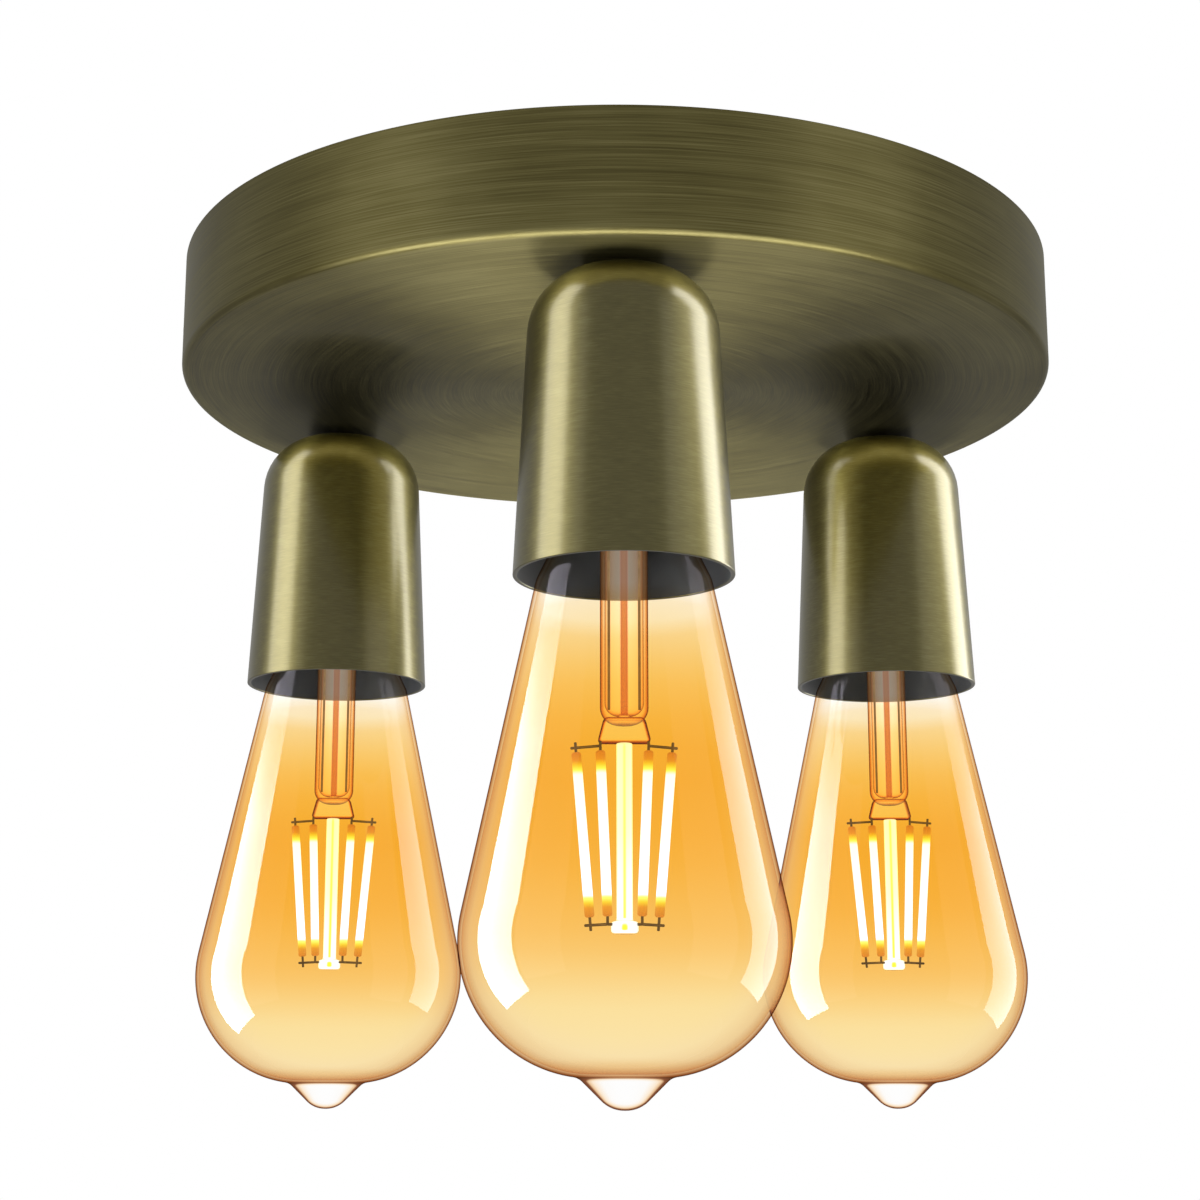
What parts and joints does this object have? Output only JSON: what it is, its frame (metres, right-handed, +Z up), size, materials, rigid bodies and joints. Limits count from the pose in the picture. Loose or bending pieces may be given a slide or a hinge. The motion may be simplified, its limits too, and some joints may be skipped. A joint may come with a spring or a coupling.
{
  "type": "semi flush ceiling light",
  "caption": "Round brushed brass ceiling cover with brushed cup holders, each with a screw-in amber teardrop filament bulb hanging below it.",
  "frame": {"origin": "centre of the pattern of ceiling screw slots, at the ceiling plane, on the axis of the round cover", "axes": "+Z up into the ceiling; the crossbar and its slots run along X; the front lamp is at -Y"},
  "size_m": [0.2064, 0.2135, 0.1937],
  "materials": {
    "antique_brass": "brushed and darkened, clear lacquered",
    "zinc_plated_steel": "bright zinc plate",
    "black_rubber": "matt",
    "terminal_nylon": "moulded, matt",
    "terminal_brass": "plain turned brass",
    "live_insulation": "extruded sleeve",
    "neutral_insulation": "extruded sleeve",
    "earth_insulation": "extruded sleeve",
    "holder_phenolic": "moulded, semi-gloss black",
    "nickel_plate": "nickel plated, rolled",
    "black_glass": "fused black glass, smooth",
    "solder": "soft solder, dull",
    "amber_glass": "blown, amber tinted, clear",
    "clear_glass": "drawn, clear",
    "board_green": "coated board",
    "filament_coating": "phosphor in silicone, lit",
    "lead_wire": "drawn wire"
  },
  "bodies": {
    "fitting": {"ceiling_cover": "antique_brass", "mounting_bracket": "zinc_plated_steel", "cable_grommet": "black_rubber", "side_screws": "antique_brass", "terminal_block": "terminal_nylon", "terminal_clamps": "terminal_brass", "terminal_screws": "zinc_plated_steel", "block_screw": "zinc_plated_steel", "live_leads": "live_insulation", "neutral_leads": "neutral_insulation", "earth_lead": "earth_insulation", "earth_screw": "terminal_brass", "lock_nuts": "zinc_plated_steel", "lock_washers": "zinc_plated_steel", "holder_terminals": "terminal_brass", "nipple_front": "zinc_plated_steel", "cup_front": "antique_brass", "lampholder_front": "holder_phenolic", "screw_shell_front": "nickel_plate", "centre_contact_front": "terminal_brass", "nipple_left": "zinc_plated_steel", "cup_left": "antique_brass", "lampholder_left": "holder_phenolic", "screw_shell_left": "nickel_plate", "centre_contact_left": "terminal_brass", "nipple_right": "zinc_plated_steel", "cup_right": "antique_brass", "lampholder_right": "holder_phenolic", "screw_shell_right": "nickel_plate", "centre_contact_right": "terminal_brass"},
    "bulb_front_carrier": {"bulb_insulator_front": "black_glass", "bulb_contact_front": "solder"},
    "bulb_front": {"bulb_glass_front": "amber_glass", "bulb_cap_front": "nickel_plate", "bulb_driver_front": "board_green", "bulb_stem_front": "clear_glass", "bulb_rod_front": "clear_glass", "filaments_front": "filament_coating", "bulb_wires_front": "lead_wire"},
    "bulb_left_carrier": {"bulb_insulator_left": "black_glass", "bulb_contact_left": "solder"},
    "bulb_left": {"bulb_glass_left": "amber_glass", "bulb_cap_left": "nickel_plate", "bulb_driver_left": "board_green", "bulb_stem_left": "clear_glass", "bulb_rod_left": "clear_glass", "filaments_left": "filament_coating", "bulb_wires_left": "lead_wire"},
    "bulb_right_carrier": {"bulb_insulator_right": "black_glass", "bulb_contact_right": "solder"},
    "bulb_right": {"bulb_glass_right": "amber_glass", "bulb_cap_right": "nickel_plate", "bulb_driver_right": "board_green", "bulb_stem_right": "clear_glass", "bulb_rod_right": "clear_glass", "filaments_right": "filament_coating", "bulb_wires_right": "lead_wire"}
  },
  "joints": [
    {"name": "bulb_front_drop", "type": "slide", "parent": "fitting", "child": "bulb_front_carrier", "axis": [0, 0, -1], "range_m": [0, 0.01452]},
    {"name": "bulb_front_turn", "type": "hinge", "parent": "bulb_front_carrier", "child": "bulb_front", "pos_m": [0, -0.0795, -0.09], "axis": [0, 0, -1], "range_deg": [0, 1440]},
    {"name": "bulb_left_drop", "type": "slide", "parent": "fitting", "child": "bulb_left_carrier", "axis": [0, 0, -1], "range_m": [0, 0.01452]},
    {"name": "bulb_left_turn", "type": "hinge", "parent": "bulb_left_carrier", "child": "bulb_left", "pos_m": [-0.06885, 0.03975, -0.09], "axis": [0, 0, -1], "range_deg": [0, 1440]},
    {"name": "bulb_right_drop", "type": "slide", "parent": "fitting", "child": "bulb_right_carrier", "axis": [0, 0, -1], "range_m": [0, 0.01452]},
    {"name": "bulb_right_turn", "type": "hinge", "parent": "bulb_right_carrier", "child": "bulb_right", "pos_m": [0.06885, 0.03975, -0.09], "axis": [0, 0, -1], "range_deg": [0, 1440]}
  ],
  "couplings": [
    {"joint": "bulb_front_drop", "follows": "bulb_front_turn", "m_per_rad": 0.00057757},
    {"joint": "bulb_left_drop", "follows": "bulb_left_turn", "m_per_rad": 0.00057757},
    {"joint": "bulb_right_drop", "follows": "bulb_right_turn", "m_per_rad": 0.00057757}
  ]
}
